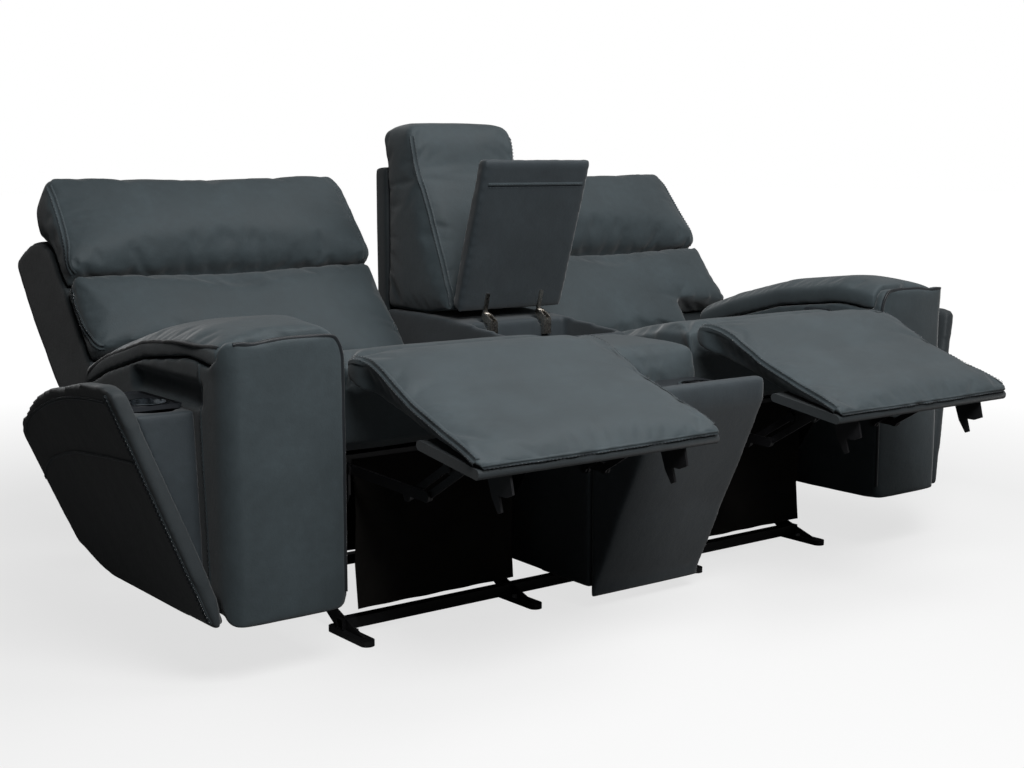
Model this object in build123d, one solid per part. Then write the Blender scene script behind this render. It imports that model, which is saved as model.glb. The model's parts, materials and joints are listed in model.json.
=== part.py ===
from build123d import *
import os
from math import acos, atan2, cos, degrees, hypot, radians, sin, tan

# Power reclining gliding loveseat with a storage console between its two seats.
# Row frame, in millimetres: the origin lies on the floor under the centre of the overall box,
# +X is to the viewer's right, the sofa faces -Y and +Z is up. It is drawn as photographed:
# both backs reclined, both footrests out, the console lid open.
# Each half is drawn on the right (+X) and mirrored to the left.

# Main widths
SEAT_PITCH = 900.0
SEAT_X = SEAT_PITCH / 2
SEAT_HALF_WIDTH = 289.0
CONSOLE_HALF_WIDTH = 156.0
ARM_INNER_X = 756.0
ARM_OUTER_X = 1008.0

# Arms
ARM_FRONT_Y = -410.0
ARM_REAR_Y = 232.0
ARM_BOTTOM_Z = 115.0
ARM_PAD_DROP = 62.0
ARM_CROWN = [(-405.0, 650.0), (-265.0, 661.0), (-60.0, 638.0), (120.0, 592.0), (214.0, 552.0)]
ARM_FRONT_PAD = 34.0
SHELL_FLARE = 0.346
SHELL_FOOT_X = 1020.0
SHELL_FOOT_Z = 100.0
SHELL_THICKNESS = 34.0
SHELL_RUN = hypot(1, SHELL_FLARE)
POD_FRONT_Y = -262.0
POD_TOP_Z = 506.0
TRAY_THICKNESS = 8.0
TRAY_LIP = 2.5
ARM_CUP_X = 1061.0
ARM_CUP_Y = -196.0
ARM_CUP_TOP = POD_TOP_Z + TRAY_THICKNESS / 2
CUP_RADIUS = 39.0
CUP_WALL = 2.0
CUP_DEPTH = 62.0
CUP_FLANGE = 5.0

# Recline: the back turns on a pin at each side of the seat
BACK_PIVOT_Y = 230.0
BACK_PIVOT_Z = 400.0
BACK_LEAN = 41.0
BACK_INNER = -268.0
BACK_OUTER = 498.0
BACK_STEM = 284.0
WAIST_U = 166.0
HEAD_SPLIT_U = 358.0

# Glider base and its swing links
BASE_LANE = 208.0
LINK_LANE = 214.5
SIDE_LANE = 221.0
BACK_LANE = 227.5
BRACKET_LANE = 201.5
PLATE = 5.0
SWING_TOP_Z = 190.0
SWING_BOTTOM_Z = 85.0
SWING_FRONT_Y = -118.0
SWING_REAR_Y = 122.0
PIN_RADIUS = 5.0
PIN_CLEARANCE = 0.06
EYE_RADIUS = 13.0
TUBE_Z = 13.0
TUBE_HEIGHT = 22.0
TUBE_DEPTH = 24.0
FRONT_TUBE_Y = -217.0
REAR_TUBE_Y = 214.0

# Seat springs
SPRING_Z = 374.0

# Footrest linkage: drive, front and control links form a parallelogram on each flank, so the
# board turns by as much as the drive links do
DRIVE_PIVOT = (-260.0, 350.0)
BOARD_PIVOT = (-649.0, 413.0)
FRONT_LENGTH = 140.0
PAD_HINGE = (-366.0, 530.0)
PAD_FOLD = 76.0
KNEE_SIDE = -1
CONTROL_OFFSET = (61.4, -8.4)
BAR_HALF = 7.0
FOOT_EYE = 10.0
PAD_REAR = (-364.0, 585.0)

# Console
LID_HINGE_Y = 86.0
LID_HINGE_Z = 590.0
LID_ANGLE = 72.0
LID_LENGTH = 374.0
LID_UNDERSIDE = 8.0
LID_TOP = 46.0
RIM_REAR_Z = 578.0
RIM_SLOPE = 5.0
CONSOLE_WALL = 16.0
CONSOLE_CUP_X = 70.0
CONSOLE_CUP_Y = -479.0
CONSOLE_TRAY_Z = 478.0
HINGE_X = 80.0


def outline(points, bulges=None):
    """A closed face through the points, each side a line or an arc that swells outwards."""
    turns = list(zip(points, points[1:] + points[:1]))
    area = sum(a[0] * b[1] - b[0] * a[1] for a, b in turns)
    sides = []
    for (start, end), bulge in zip(turns, bulges or [0] * len(points)):
        if bulge:
            sides.append(SagittaArc(start, end, -bulge if area > 0 else bulge))
        else:
            sides.append(Line(start, end))
    return make_face(sides)


def profile(x0, x1, points, bulges=None, corner=0):
    """A Y-Z outline drawn from x0 to x1."""
    face = outline(points, bulges)
    if corner:
        face = fillet(face.vertices(), corner)
    return extrude(Plane.YZ.offset(x0) * face, amount=x1 - x0)


def front_profile(y0, y1, points, bulges=None, corner=0):
    """An X-Z outline drawn from y0 back to y1."""
    face = outline(points, bulges)
    if corner:
        face = fillet(face.vertices(), corner)
    return extrude(Plane.XZ.offset(-y1) * face, amount=y1 - y0)


def plan(z0, z1, points, bulges=None, corner=0):
    """An X-Y outline drawn from z0 up to z1."""
    face = outline(points, bulges)
    if corner:
        face = fillet(face.vertices(), corner)
    return extrude(Plane.XY.offset(z0) * face, amount=z1 - z0)


def block(x, y, z):
    """A box from its lowest to its highest X, Y and Z."""
    corner = Pos(x[0], y[0], z[0])
    return corner * Box(x[1] - x[0], y[1] - y[0], z[1] - z[0], align=(Align.MIN,) * 3)


def rod_x(y, z, radius, x0, x1):
    """A round bar along X."""
    return extrude(Plane.YZ.offset(x0) * Pos(y, z) * Circle(radius), amount=x1 - x0)


def post(x, y, radius, z0, z1):
    """A round bar along Z."""
    return extrude(Plane.XY.offset(z0) * Pos(x, y) * Circle(radius), amount=z1 - z0)


def bar(start, end, half, eye, x0, x1):
    """A flat link between two eyes."""
    (y0, z0), (y1, z1) = start, end
    length = hypot(y1 - y0, z1 - z0)
    across = ((z0 - z1) / length * half, (y1 - y0) / length * half)
    corners = [
        (y0 + across[0], z0 + across[1]),
        (y1 + across[0], z1 + across[1]),
        (y1 - across[0], z1 - across[1]),
        (y0 - across[0], z0 - across[1]),
    ]
    link = profile(x0, x1, corners)
    for y, z in (start, end):
        link += rod_x(y, z, eye, x0, x1)
    return link


def group(shapes):
    """Separate solids in one node."""
    solids = []
    for shape in shapes:
        solids += shape.solids()
    return Compound(children=solids)


def mirrored(shape):
    return mirror(shape, about=Plane.YZ)


def both_sides_of_seat(shape):
    """The shape at the seat's right flank and its mirror image at the left flank, on both seats."""
    flank = Pos(SEAT_X, 0, 0) * shape
    other = Pos(SEAT_X, 0, 0) * mirrored(shape)
    return [flank, other, mirrored(flank), mirrored(other)]


def turned(point, angle):
    """A Y-Z vector turned about +X."""
    y, z = point
    c, s = cos(radians(angle)), sin(radians(angle))
    return (y * c - z * s, y * s + z * c)


def added(a, b):
    return (a[0] + b[0], a[1] + b[1])


def taken(a, b):
    return (a[0] - b[0], a[1] - b[1])


def heading(a, b):
    """The angle of the line from a to b, in degrees from +Y towards +Z."""
    return degrees(atan2(b[1] - a[1], b[0] - a[0]))


def knee(hip, ankle, upper, lower, side):
    """Where two bars of known length meet between a hip and an ankle."""
    reach = hypot(*taken(ankle, hip))
    bend = degrees(acos((upper**2 + reach**2 - lower**2) / (2 * upper * reach)))
    return added(hip, turned((upper, 0), heading(hip, ankle) + side * bend))


# Footrest linkage, solved at its two ends of travel
BOARD_IN = added(PAD_HINGE, turned(taken(BOARD_PIVOT, PAD_HINGE), PAD_FOLD))
BOARD_TURNED_BACK = added(DRIVE_PIVOT, turned(taken(BOARD_IN, DRIVE_PIVOT), -PAD_FOLD))
KNEE_OUT = knee(BOARD_PIVOT, BOARD_TURNED_BACK, FRONT_LENGTH, FRONT_LENGTH, KNEE_SIDE)
KNEE_IN = added(DRIVE_PIVOT, turned(taken(KNEE_OUT, DRIVE_PIVOT), PAD_FOLD))
FRONT_TURN = heading(KNEE_IN, BOARD_IN) - heading(KNEE_OUT, BOARD_PIVOT)
CONTROL_FOOT = added(KNEE_OUT, CONTROL_OFFSET)
CONTROL_TOP = added(BOARD_PIVOT, CONTROL_OFFSET)

# The frame of a reclined back: x across, y up along the back, z out of its front
BACK = Plane(
    origin=(SEAT_X, BACK_PIVOT_Y, BACK_PIVOT_Z),
    x_dir=(1, 0, 0),
    z_dir=(0, -cos(radians(BACK_LEAN)), sin(radians(BACK_LEAN))),
)


def base_side_plates():
    """Arched floor plates with foot bars, slotted upper plates and the swing links' upper studs."""
    arch = [
        (-300, 12), (-250, 12), (-186, 12), (-150, 34), (-100, 46), (110, 46), (160, 34),
        (196, 12), (300, 12), (214, 52), (178, 74), (176, 206), (160, 214), (-156, 214),
        (-172, 200), (-172, 118), (-142, 66), (-212, 40),
    ]
    plate = profile(BASE_LANE, BASE_LANE + PLATE, arch)
    slot = extrude(
        Plane.YZ.offset(BASE_LANE) * Pos(-112, 100) * Rot(0, 0, 35) * SlotOverall(44, 14),
        amount=PLATE,
    )
    window = profile(BASE_LANE, BASE_LANE + PLATE, [(-70, 84), (84, 84), (104, 150), (-90, 150)],
                     corner=16)
    plate -= slot + window
    for y0, y1 in ((-306, -188), (198, 306)):
        foot = plan(0, 12, [(196, y0), (226, y0), (226, y1), (196, y1)], [16, 0, 16, 0])
        plate += foot
    for y in (SWING_FRONT_Y, SWING_REAR_Y):
        plate += rod_x(y, SWING_TOP_Z, PIN_RADIUS, BASE_LANE, LINK_LANE + PLATE)
        plate += rod_x(y, SWING_TOP_Z, PIN_RADIUS + 5, BASE_LANE - 3, BASE_LANE)
    for y in (FRONT_TUBE_Y, REAR_TUBE_Y):
        plate -= block((190, 230), (y - TUBE_DEPTH / 2, y + TUBE_DEPTH / 2),
                       (12, TUBE_Z + TUBE_HEIGHT))
    return group(both_sides_of_seat(plate))


def base_cross_tubes():
    """Two box tubes that tie the four side plates together."""
    tubes = []
    half = SEAT_X + BASE_LANE + PLATE + 8
    for y in (FRONT_TUBE_Y, REAR_TUBE_Y):
        depth = (y - TUBE_DEPTH / 2, y + TUBE_DEPTH / 2)
        tube = block((-half, half), depth, (12, TUBE_Z + TUBE_HEIGHT))
        inside = ((depth[0] + 2), (depth[1] - 2))
        tube -= block((-half, half), inside, (14, TUBE_Z + TUBE_HEIGHT - 2))
        tubes.append(tube)
    return group(tubes)


def base_bolts():
    """One hex bolt through each foot bar's tongue beside the cross tube."""
    bolts = []
    for y in (FRONT_TUBE_Y - 32, REAR_TUBE_Y + 32):
        hexagon = RegularPolygon(6, 6)
        bolt = extrude(Plane.XY.offset(12) * Pos(201, y) * hexagon, amount=5)
        bolts += both_sides_of_seat(bolt)
    return group(bolts)


def swing_links(y):
    """Flat hangers from the base plates' studs down to the side plates' studs."""
    link = bar((y, SWING_TOP_Z), (y, SWING_BOTTOM_Z), 10, EYE_RADIUS, LINK_LANE,
               LINK_LANE + PLATE)
    for z in (SWING_TOP_Z, SWING_BOTTOM_Z):
        link -= rod_x(y, z, PIN_RADIUS + PIN_CLEARANCE, LINK_LANE, LINK_LANE + PLATE)
    return group(both_sides_of_seat(link))


def mechanism_side_plates():
    """The carriage's side plates, with lugs for the swing links, footrest and back."""
    shape = [
        (-270, 300), (-214, 214), (-140, 170), (-140, 86), (-118, 66), (-96, 86), (-84, 196),
        (92, 196), (100, 86), (122, 66), (144, 86), (150, 190), (206, 300), (262, 386),
        (256, 424), (206, 428), (160, 372), (-250, 366), (-270, 350),
    ]
    plate = profile(SIDE_LANE, SIDE_LANE + PLATE, shape)
    window = profile(SIDE_LANE, SIDE_LANE + PLATE, [(-150, 240), (110, 240), (140, 320), (-190, 320)],
                     corner=20)
    plate -= window
    for y in (SWING_FRONT_Y, SWING_REAR_Y):
        plate += rod_x(y, SWING_BOTTOM_Z, PIN_RADIUS, LINK_LANE, SIDE_LANE)
    plate += rod_x(*DRIVE_PIVOT, FOOT_EYE + 4, SIDE_LANE, SIDE_LANE + PLATE)
    plate += rod_x(*DRIVE_PIVOT, PIN_RADIUS, LINK_LANE, SIDE_LANE)
    plate += rod_x(BACK_PIVOT_Y, BACK_PIVOT_Z, PIN_RADIUS, SIDE_LANE + PLATE, BACK_LANE + PLATE)
    return group(both_sides_of_seat(plate))


def seat_frame():
    """A welded tube frame on top of the side plates that holds the springs."""
    frame = Part()
    for y in (-236, 120):
        frame += block((-SIDE_LANE, SIDE_LANE), (y, y + 26), (SPRING_Z - 28, SPRING_Z - 2))
    for x in (-SIDE_LANE, SIDE_LANE - 20):
        frame += block((x, x + 20), (-210, 120), (SPRING_Z - 28, SPRING_Z - 8))
    return Pos(SEAT_X, 0, 0) * frame


def carriage_rails():
    """Box rails through the side plates' windows, from the console to each arm."""
    rails = []
    for y in (-130, 70):
        rail = block((CONSOLE_HALF_WIDTH, ARM_INNER_X), (y, y + 24), (240, 260))
        rail -= block((CONSOLE_HALF_WIDTH, ARM_INNER_X), (y + 2, y + 22), (242, 258))
        rails += [rail, mirrored(rail)]
    return group(rails)


def seat_springs():
    """Four sinuous springs from the front rail to the rear rail of each seat."""
    springs = []
    pitch, half, radius, turns = 56.7, 26.0, 2.0, 6
    for x in (-135, -45, 45, 135):
        corners = []
        for i in range(turns + 1):
            side = half if i % 2 else -half
            corners.append((x + side, -212 + i * pitch))
            if i < turns:
                corners.append((x + side, -212 + (i + 1) * pitch))
        path = Plane.XY.offset(SPRING_Z) * Polyline(*corners)
        start = Plane(path @ 0, z_dir=path % 0)
        wire = sweep(start * RegularPolygon(radius, 6), path=path, transition=Transition.RIGHT)
        springs.append(wire)
    return springs


def seat_cushion():
    """Crowned seat pad that rises to a rolled nose."""
    shape = profile(
        -SEAT_HALF_WIDTH, SEAT_HALF_WIDTH,
        [(-352, 520), (-318, 408), (-240, SPRING_Z + 2.2), (150, SPRING_Z + 2.2), (166, 470), (-352, 588)],
        [0, 0, 0, 4, 14, 3],
    )
    shape &= front_profile(
        -400, 200,
        [(-SEAT_HALF_WIDTH, 370), (SEAT_HALF_WIDTH, 370), (SEAT_HALF_WIDTH, 572),
         (-SEAT_HALF_WIDTH, 572)],
        [0, -5, 24, -5],
    )
    return Pos(SEAT_X, 0, 0) * shape


def dust_curtains():
    """Thin cloth that hangs from each seat's front rail."""
    curtain = profile(
        -197, 197,
        [(-239, 364), (-250, 250), (-243, 150), (-252, 56), (-249, 56), (-240, 150), (-247, 250),
         (-236, 340), (-236, 364)],
    )
    cloth = Pos(SEAT_X, 0, 0) * curtain
    return group([cloth, mirrored(cloth)])


def arm_stations():
    """The crown line from the front panel to the arm's rear end."""
    front = ARM_FRONT_Y + ARM_FRONT_PAD
    return [(front, ARM_CROWN[0][1])] + ARM_CROWN[1:-1] + [(ARM_REAR_Y, ARM_CROWN[-1][1])]


def arm_side(drop, inset, bottom):
    """The arm's side outline, its top a given drop below the crown line."""
    top = [(y, z - drop) for y, z in arm_stations()]
    top[0] = (top[0][0] + inset, top[0][1])
    top[-1] = (top[-1][0] - inset, top[-1][1])
    return [(top[0][0], bottom)] + top + [(top[-1][0], bottom)]


def arm_body():
    """The upholstered arm box under the pad, with a round front outer edge."""
    body = profile(ARM_INNER_X, ARM_OUTER_X, arm_side(ARM_PAD_DROP, 0, ARM_BOTTOM_Z))
    body -= profile(ARM_INNER_X + 18, ARM_OUTER_X - 18, arm_side(ARM_PAD_DROP + 20, 18, ARM_BOTTOM_Z - 1))
    body -= shell_slab(-60, SHELL_THICKNESS * SHELL_RUN)
    body += block((ARM_OUTER_X - 58, ARM_OUTER_X - 40), (-370, 210), (ARM_BOTTOM_Z, 190))
    body += block((ARM_OUTER_X - 58, ARM_OUTER_X - 10), (-370, 210), (176, 190))
    return body + arm_front()


def arm_front():
    """The padded front panel of the arm, a rounded slab."""
    back = ARM_FRONT_Y + ARM_FRONT_PAD
    front = plan(
        ARM_BOTTOM_Z, 640,
        [(ARM_INNER_X, ARM_FRONT_Y + 6), (ARM_INNER_X, back), (ARM_OUTER_X, back),
         (ARM_OUTER_X, ARM_FRONT_Y + 26), (ARM_OUTER_X - 22, ARM_FRONT_Y + 4)],
        [0, 0, 0, 6, 6],
    )
    return front & front_profile(
        -500, -300,
        [(ARM_INNER_X, ARM_BOTTOM_Z + 22), (ARM_INNER_X, 606), (ARM_INNER_X + 40, 646),
         (ARM_OUTER_X - 40, 630), (ARM_OUTER_X, 590), (ARM_OUTER_X, ARM_BOTTOM_Z + 30),
         (ARM_OUTER_X - 30, ARM_BOTTOM_Z), (ARM_INNER_X + 22, ARM_BOTTOM_Z)],
        [0, 10, 3, 10, 0, 8, 0, 6],
    )


def arm_pad_section(crown):
    """One cross-section of the arm's padded roll."""
    low = crown - ARM_PAD_DROP
    return outline(
        [(ARM_INNER_X, low), (ARM_INNER_X, crown - 26), (ARM_INNER_X + 60, crown),
         (ARM_OUTER_X - 44, crown - 14), (ARM_OUTER_X + 6, crown - 46), (ARM_OUTER_X, low)],
        [0, 10, 3, 8, 4, 0],
    )


def arm_pad():
    """The padded roll that caps the arm, following the crown line down to the rear."""
    sections = [Plane.XZ.offset(-y) * arm_pad_section(z) for y, z in arm_stations()]
    return loft(sections, ruled=True)


def shell_slab(inner, outer):
    """The flared slab between two distances inside the shell's outer plane, over all Y."""
    top = 640.0
    rise = top - SHELL_FOOT_Z
    foot = SHELL_FOOT_X
    low = -10.0 - SHELL_FOOT_Z
    return front_profile(
        -420, 320,
        [(foot + low * SHELL_FLARE - outer, -10), (foot + rise * SHELL_FLARE - outer, top),
         (foot + rise * SHELL_FLARE - inner, top), (foot + low * SHELL_FLARE - inner, -10)],
    )


SHELL_SIDE = [
    (-400, 124), (-388, 116), (50, 114), (196, 152), (222, 158), (298, 372), (282, 414),
    (258, 430), (146, 482), (-69, 535), (-340, 561), (-396, 556), (-408, 540),
]
SHELL_BULGES = [3, 0, 12, 0, 0, 8, 5, 0, 8, 6, 4, 5, 0]


def outer_shell():
    """The flared outer panel, a padded slab with a rounded front strip."""
    slab = shell_slab(0, SHELL_THICKNESS * SHELL_RUN)
    shell = profile(960, 1260, SHELL_SIDE, SHELL_BULGES) & slab
    return shell - block((900, ARM_OUTER_X), (-420, ARM_FRONT_Y + ARM_FRONT_PAD), (100, 600))


def arm_pod():
    """The wedge between the arm and the flared shell, with a bored well for the cup holder."""
    side = [(POD_FRONT_Y, 170), (-40, 150), (150, 180), (228, 300), (226, 400), (120, 470),
            (-60, POD_TOP_Z), (POD_FRONT_Y, POD_TOP_Z)]
    pod = profile(ARM_OUTER_X, 1250, side, [0, 6, 6, 0, 0, 6, 0, 0])
    pod &= shell_slab(SHELL_THICKNESS * SHELL_RUN, 400)
    bottom = ARM_CUP_TOP - CUP_DEPTH - CUP_WALL
    return pod - post(ARM_CUP_X, ARM_CUP_Y, CUP_RADIUS + CUP_WALL, bottom, POD_TOP_Z)


def arm_pod_tray():
    """A thin moulded tray on the pod, with a raised lip and a round hole."""
    inner, outer = ARM_OUTER_X + 4, ARM_CUP_X + 58
    z0, z1 = POD_TOP_Z, POD_TOP_Z + TRAY_THICKNESS
    tray = plan(z0, z1, [(inner, POD_FRONT_Y + 6), (outer, POD_FRONT_Y + 6), (outer, -66), (inner, -66)],
                corner=12)
    front, rear = POD_FRONT_Y + 6 + TRAY_LIP, -66 - TRAY_LIP
    inner, outer = inner + TRAY_LIP, outer - TRAY_LIP
    recess = plan(z1 - 4, z1, [(inner, front), (outer, front), (outer, rear), (inner, rear)], corner=10)
    return tray - recess - post(ARM_CUP_X, ARM_CUP_Y, CUP_RADIUS + CUP_WALL, z0, z1)


def cup_holder(x, y, top):
    """A chromed cup with a rolled rim."""
    outer = CUP_RADIUS + CUP_WALL
    bottom = top - CUP_DEPTH - CUP_WALL
    cup = post(x, y, outer, bottom, top)
    cup += post(x, y, outer + CUP_FLANGE, top, top + 3)
    return cup - post(x, y, CUP_RADIUS, bottom + CUP_WALL, top + 3)


def switch_plate():
    """The oval control plate on the arm's inner face."""
    plate = extrude(
        Plane.YZ.offset(ARM_INNER_X - 3) * Pos(-201, 568) * SlotOverall(92, 26), amount=3)
    button = extrude(
        Plane.YZ.offset(ARM_INNER_X - 3) * Pos(-201, 568) * SlotOverall(40.6, 14.6), amount=3)
    return plate - button


def switch_button():
    """The rocker in the control plate."""
    return extrude(
        Plane.YZ.offset(ARM_INNER_X - 5.5) * Pos(-201, 568) * SlotOverall(40, 14), amount=3)


def rim_z(y):
    """Height of the console's sloping rim."""
    return RIM_REAR_Z + (y - LID_HINGE_Y) * tan(radians(RIM_SLOPE))


def console_box():
    """The console's upholstered case around the storage bin."""
    w = CONSOLE_HALF_WIDTH
    side = [(-386, 46), (402, 60), (402, 586), (244, 586), (LID_HINGE_Y, rim_z(LID_HINGE_Y)),
            (-150, rim_z(-150)), (-150, 440), (-386, 440)]
    box = profile(-w, w, side)
    bin_side = [(-132, 260), (64, 260), (64, 640), (-132, 640)]
    box -= profile(-w + CONSOLE_WALL, w - CONSOLE_WALL, bin_side)
    box -= profile(-w + CONSOLE_WALL, w - CONSOLE_WALL, [(-366, 64), (384, 76), (384, 236), (-366, 236)])
    for x in (-HINGE_X, HINGE_X):
        box -= block((x - 12, x + 12), (64, 104), (556, 620))
    return box


def console_prow():
    """The leaning front panel and its cheeks, which carry the cup tray."""
    w = CONSOLE_HALF_WIDTH
    side = [(-386, 26), (-400, 27), (-408, 58), (-479, 214), (-585, 438), (-593, 482), (-574, 496),
            (-560, 486), (-386, 470)]
    prow = profile(-w, w, side, [0, 0, 2, 2, 3, 4, 3, 0, 0])
    hollow = [(-386, 60), (-404, 80), (-446, 190), (-548, 420), (-556, CONSOLE_TRAY_Z - 8),
              (-556, 520), (-386, 520)]
    return prow - profile(-w + CONSOLE_WALL, w - CONSOLE_WALL, hollow)


def console_tray():
    """The moulded tray with two round holes that lies in the prow."""
    w = CONSOLE_HALF_WIDTH - CONSOLE_WALL - 0.5
    tray = block((-w, w), (-555.5, -386), (CONSOLE_TRAY_Z - 8, CONSOLE_TRAY_Z))
    for x in (-CONSOLE_CUP_X, CONSOLE_CUP_X):
        tray -= post(x, CONSOLE_CUP_Y, CUP_RADIUS + CUP_WALL, CONSOLE_TRAY_Z - 8, CONSOLE_TRAY_Z)
    return tray


def console_front_pad():
    """The padded block ahead of the bin, with a rounded front top edge."""
    w = CONSOLE_HALF_WIDTH
    side = [(-150, 440), (-380, 440), (-380, 516), (-356, 547), (-150, 554)]
    pad = profile(-w, w, side, [0, 6, 9, 3, 0])
    return pad & front_profile(-420, -100, [(-w, 430), (w, 430), (w, 544), (-w, 544)], [0, 0, 14, 0])


def console_back_shell():
    """The upright board behind the console's back cushion."""
    side = [(402, 60), (460, 60), (460, 930), (452, 936), (402, 936)]
    return profile(-CONSOLE_HALF_WIDTH + 4, CONSOLE_HALF_WIDTH - 4, side)


def console_back_cushion():
    """The tall fixed cushion between the two backs."""
    w = CONSOLE_HALF_WIDTH - 1
    side = [(136, 600), (150, 660), (202, 784), (272, 940), (300, 1034), (396, 1030), (418, 1000),
            (402, 938), (402, 586), (244, 586)]
    cushion = profile(-w, w, side, [0, 2, 3, 6, 8, 8, 2, 0, 0, 0])
    return cushion & front_profile(
        0, 500, [(-w, 560), (w, 560), (w, 1008), (w - 34, 1040), (-w + 34, 1040), (-w, 1008)],
        [0, -4, 9, 5, 9, -4])


def hinge_bodies():
    """Two concealed hinges screwed to the bin's rear wall."""
    bodies = []
    for x in (-HINGE_X, HINGE_X):
        base = block((x - 11, x + 11), (52, 63.8), (538, 576))
        side = [(52, 560), (78, 572), (88, 582), (86, 597), (76, 594), (52, 580)]
        ear = profile(x - 9, x - 5, side)
        other = profile(x + 5, x + 9, side)
        pin = rod_x(LID_HINGE_Y, LID_HINGE_Z, 3, x - 9, x + 9)
        bodies.append(base + ear + other + pin)
    return group(bodies)


LID = Plane(
    origin=(0, LID_HINGE_Y, LID_HINGE_Z),
    x_dir=(1, 0, 0),
    z_dir=(0, sin(radians(LID_ANGLE)), cos(radians(LID_ANGLE))),
)


def console_lid():
    """The open padded lid: local y runs from the free end to the hinge, z out of its top."""
    w = CONSOLE_HALF_WIDTH
    side = [(-LID_LENGTH, LID_UNDERSIDE), (-LID_LENGTH, LID_TOP - 14), (-LID_LENGTH + 16, LID_TOP),
            (-18, LID_TOP), (-6, LID_TOP - 10), (-6, LID_UNDERSIDE)]
    lid = profile(-w, w, side, [3, 4, 4, 3, 0, 0])
    lid &= plan(0, 80, [(-w, -LID_LENGTH - 6), (w, -LID_LENGTH - 6), (w, 0), (-w, 0)], corner=10)
    return LID * lid


def lid_hinge_arms():
    """The hinges' curved arms, each fixed to the lid's underside."""
    arms = []
    for x in (-HINGE_X, HINGE_X):
        knuckle = rod_x(0, 0, 7, x - 4.7, x + 4.7)
        side = [(4, -5), (7, 3), (-8, LID_UNDERSIDE), (-52, LID_UNDERSIDE), (-52, 4), (-12, 2)]
        arm = profile(x - 4.7, x + 4.7, side)
        bored = knuckle + arm - rod_x(0, 0, 3 + PIN_CLEARANCE, x - 5, x + 5)
        arms.append(LID * bored)
    return group(arms)


def drive_motors():
    """The seat's two geared motors on a cross plate between the side plates."""
    plate = block((-SIDE_LANE, SIDE_LANE), (-30, 30), (322, 328))
    motors = [plate]
    for x in (-70, 70):
        can = extrude(Plane.XZ.offset(-20) * Pos(x, 296) * Circle(25), amount=110)
        box = block((x - 30, x + 30), (20, 84), (262, 322))
        motors.append(can + box)
    return Pos(SEAT_X, 0, 0) * group(motors)


def back_frame():
    """Welded tube frame of the back, hinged on the side plates' pins."""
    frame = Part()
    lane = (BACK_LANE, BACK_LANE + PLATE)
    for sign in (-1, 1):
        arm = bar((0, 0), (40, -44), 13, 18, *lane) + bar((40, -44), (150, -51), 10, 13, *lane)
        arm -= rod_x(0, 0, PIN_RADIUS + PIN_CLEARANCE, *lane)
        post_bar = block((BACK_LANE, -BACK_INNER - 18), (130, 462), (-62, -40))
        side = arm + post_bar
        frame += side if sign > 0 else mirrored(side)
    for u in (150, 440):
        frame += block((BACK_INNER + 18, BACK_STEM - 18), (u, u + 22), (-62, -40))
    return BACK * frame


def rounded_top(inner, outer, low, high, corner):
    """A front outline with round top corners, deep enough to cut any piece of the back."""
    face = outline([(inner, low), (outer, low), (outer, high), (inner, high)])
    corners = [v for v in face.vertices() if v.Y > high - 1]
    return extrude(Plane.XY.offset(-400) * fillet(corners, corner), amount=800)


def tee(low, waist, high, corner):
    """The back's front outline: a stem between the arms and a wide top that laps over the arm."""
    stem = block((BACK_INNER, BACK_STEM), (low, waist + corner), (-400, 400))
    return rounded_top(BACK_INNER, BACK_OUTER, waist, high, corner) + stem


def dome(edge, crown):
    """A crowned slab over the back's width: its height at the sides and its rise to the middle."""
    inner, outer = BACK_INNER - 6, BACK_OUTER + 6
    face = outline([(inner, -90), (outer, -90), (outer, edge), (inner, edge)], [0, 0, crown, 0])
    return extrude(Plane.XZ * face, amount=-700)


def back_shell():
    """The upholstered outside back, a tub open to the cushion."""
    side = [(40, -16), (474, -16), (550, -70), (604, -214), (579, -228), (247, -222), (40, -120)]
    shell = profile(BACK_INNER, BACK_OUTER, side, [0, 6, 8, 4, 6, 4, 0])
    shell &= tee(0, WAIST_U - 24, 640, 30)
    cavity = [(30, 10), (466, 10), (474, -40), (530, -90), (570, -200), (250, -200), (30, -90)]
    hollow = profile(BACK_INNER + 18, BACK_STEM - 18, cavity)
    return BACK * (shell - hollow)


def back_cushion():
    """Lumbar cushion: crowned, waisted over the arm, with a rolled top against the head bolster."""
    side = [(52, -16), (52, 44), (92, 66), (HEAD_SPLIT_U - 30, 72), (HEAD_SPLIT_U - 8, 40),
            (HEAD_SPLIT_U, -16)]
    cushion = profile(BACK_INNER, BACK_OUTER, side, [0, 8, 8, 9, 3, 0])
    cushion &= tee(50, WAIST_U, 400, 4)
    return BACK * (cushion & dome(44, 44))


def headrest():
    """The head bolster: a full roll with rounded top corners."""
    side = [(HEAD_SPLIT_U + 4, -14), (HEAD_SPLIT_U + 26, 50), (HEAD_SPLIT_U + 60, 78), (580, 84), (634, 50),
            (632, -20), (590, -40), (552, -58), (478, -14)]
    roll = profile(BACK_INNER, BACK_OUTER, side, [0, 8, 10, 12, 10, 4, 0, 0, 0])
    roll &= rounded_top(BACK_INNER, BACK_OUTER, 300, 646, 64)
    return BACK * (roll & dome(57, 43))


def drive_links():
    """Footrest drive links with the studs that carry the front and control links."""
    link = bar(DRIVE_PIVOT, KNEE_OUT, 10, FOOT_EYE + 1, LINK_LANE, LINK_LANE + PLATE)
    link += rod_x(*CONTROL_FOOT, FOOT_EYE + 2, LINK_LANE, LINK_LANE + PLATE)
    link -= rod_x(*DRIVE_PIVOT, PIN_RADIUS + PIN_CLEARANCE, LINK_LANE, LINK_LANE + PLATE)
    for eye in (KNEE_OUT, CONTROL_FOOT):
        link += rod_x(*eye, PIN_RADIUS, BASE_LANE, LINK_LANE)
    return link


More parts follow.
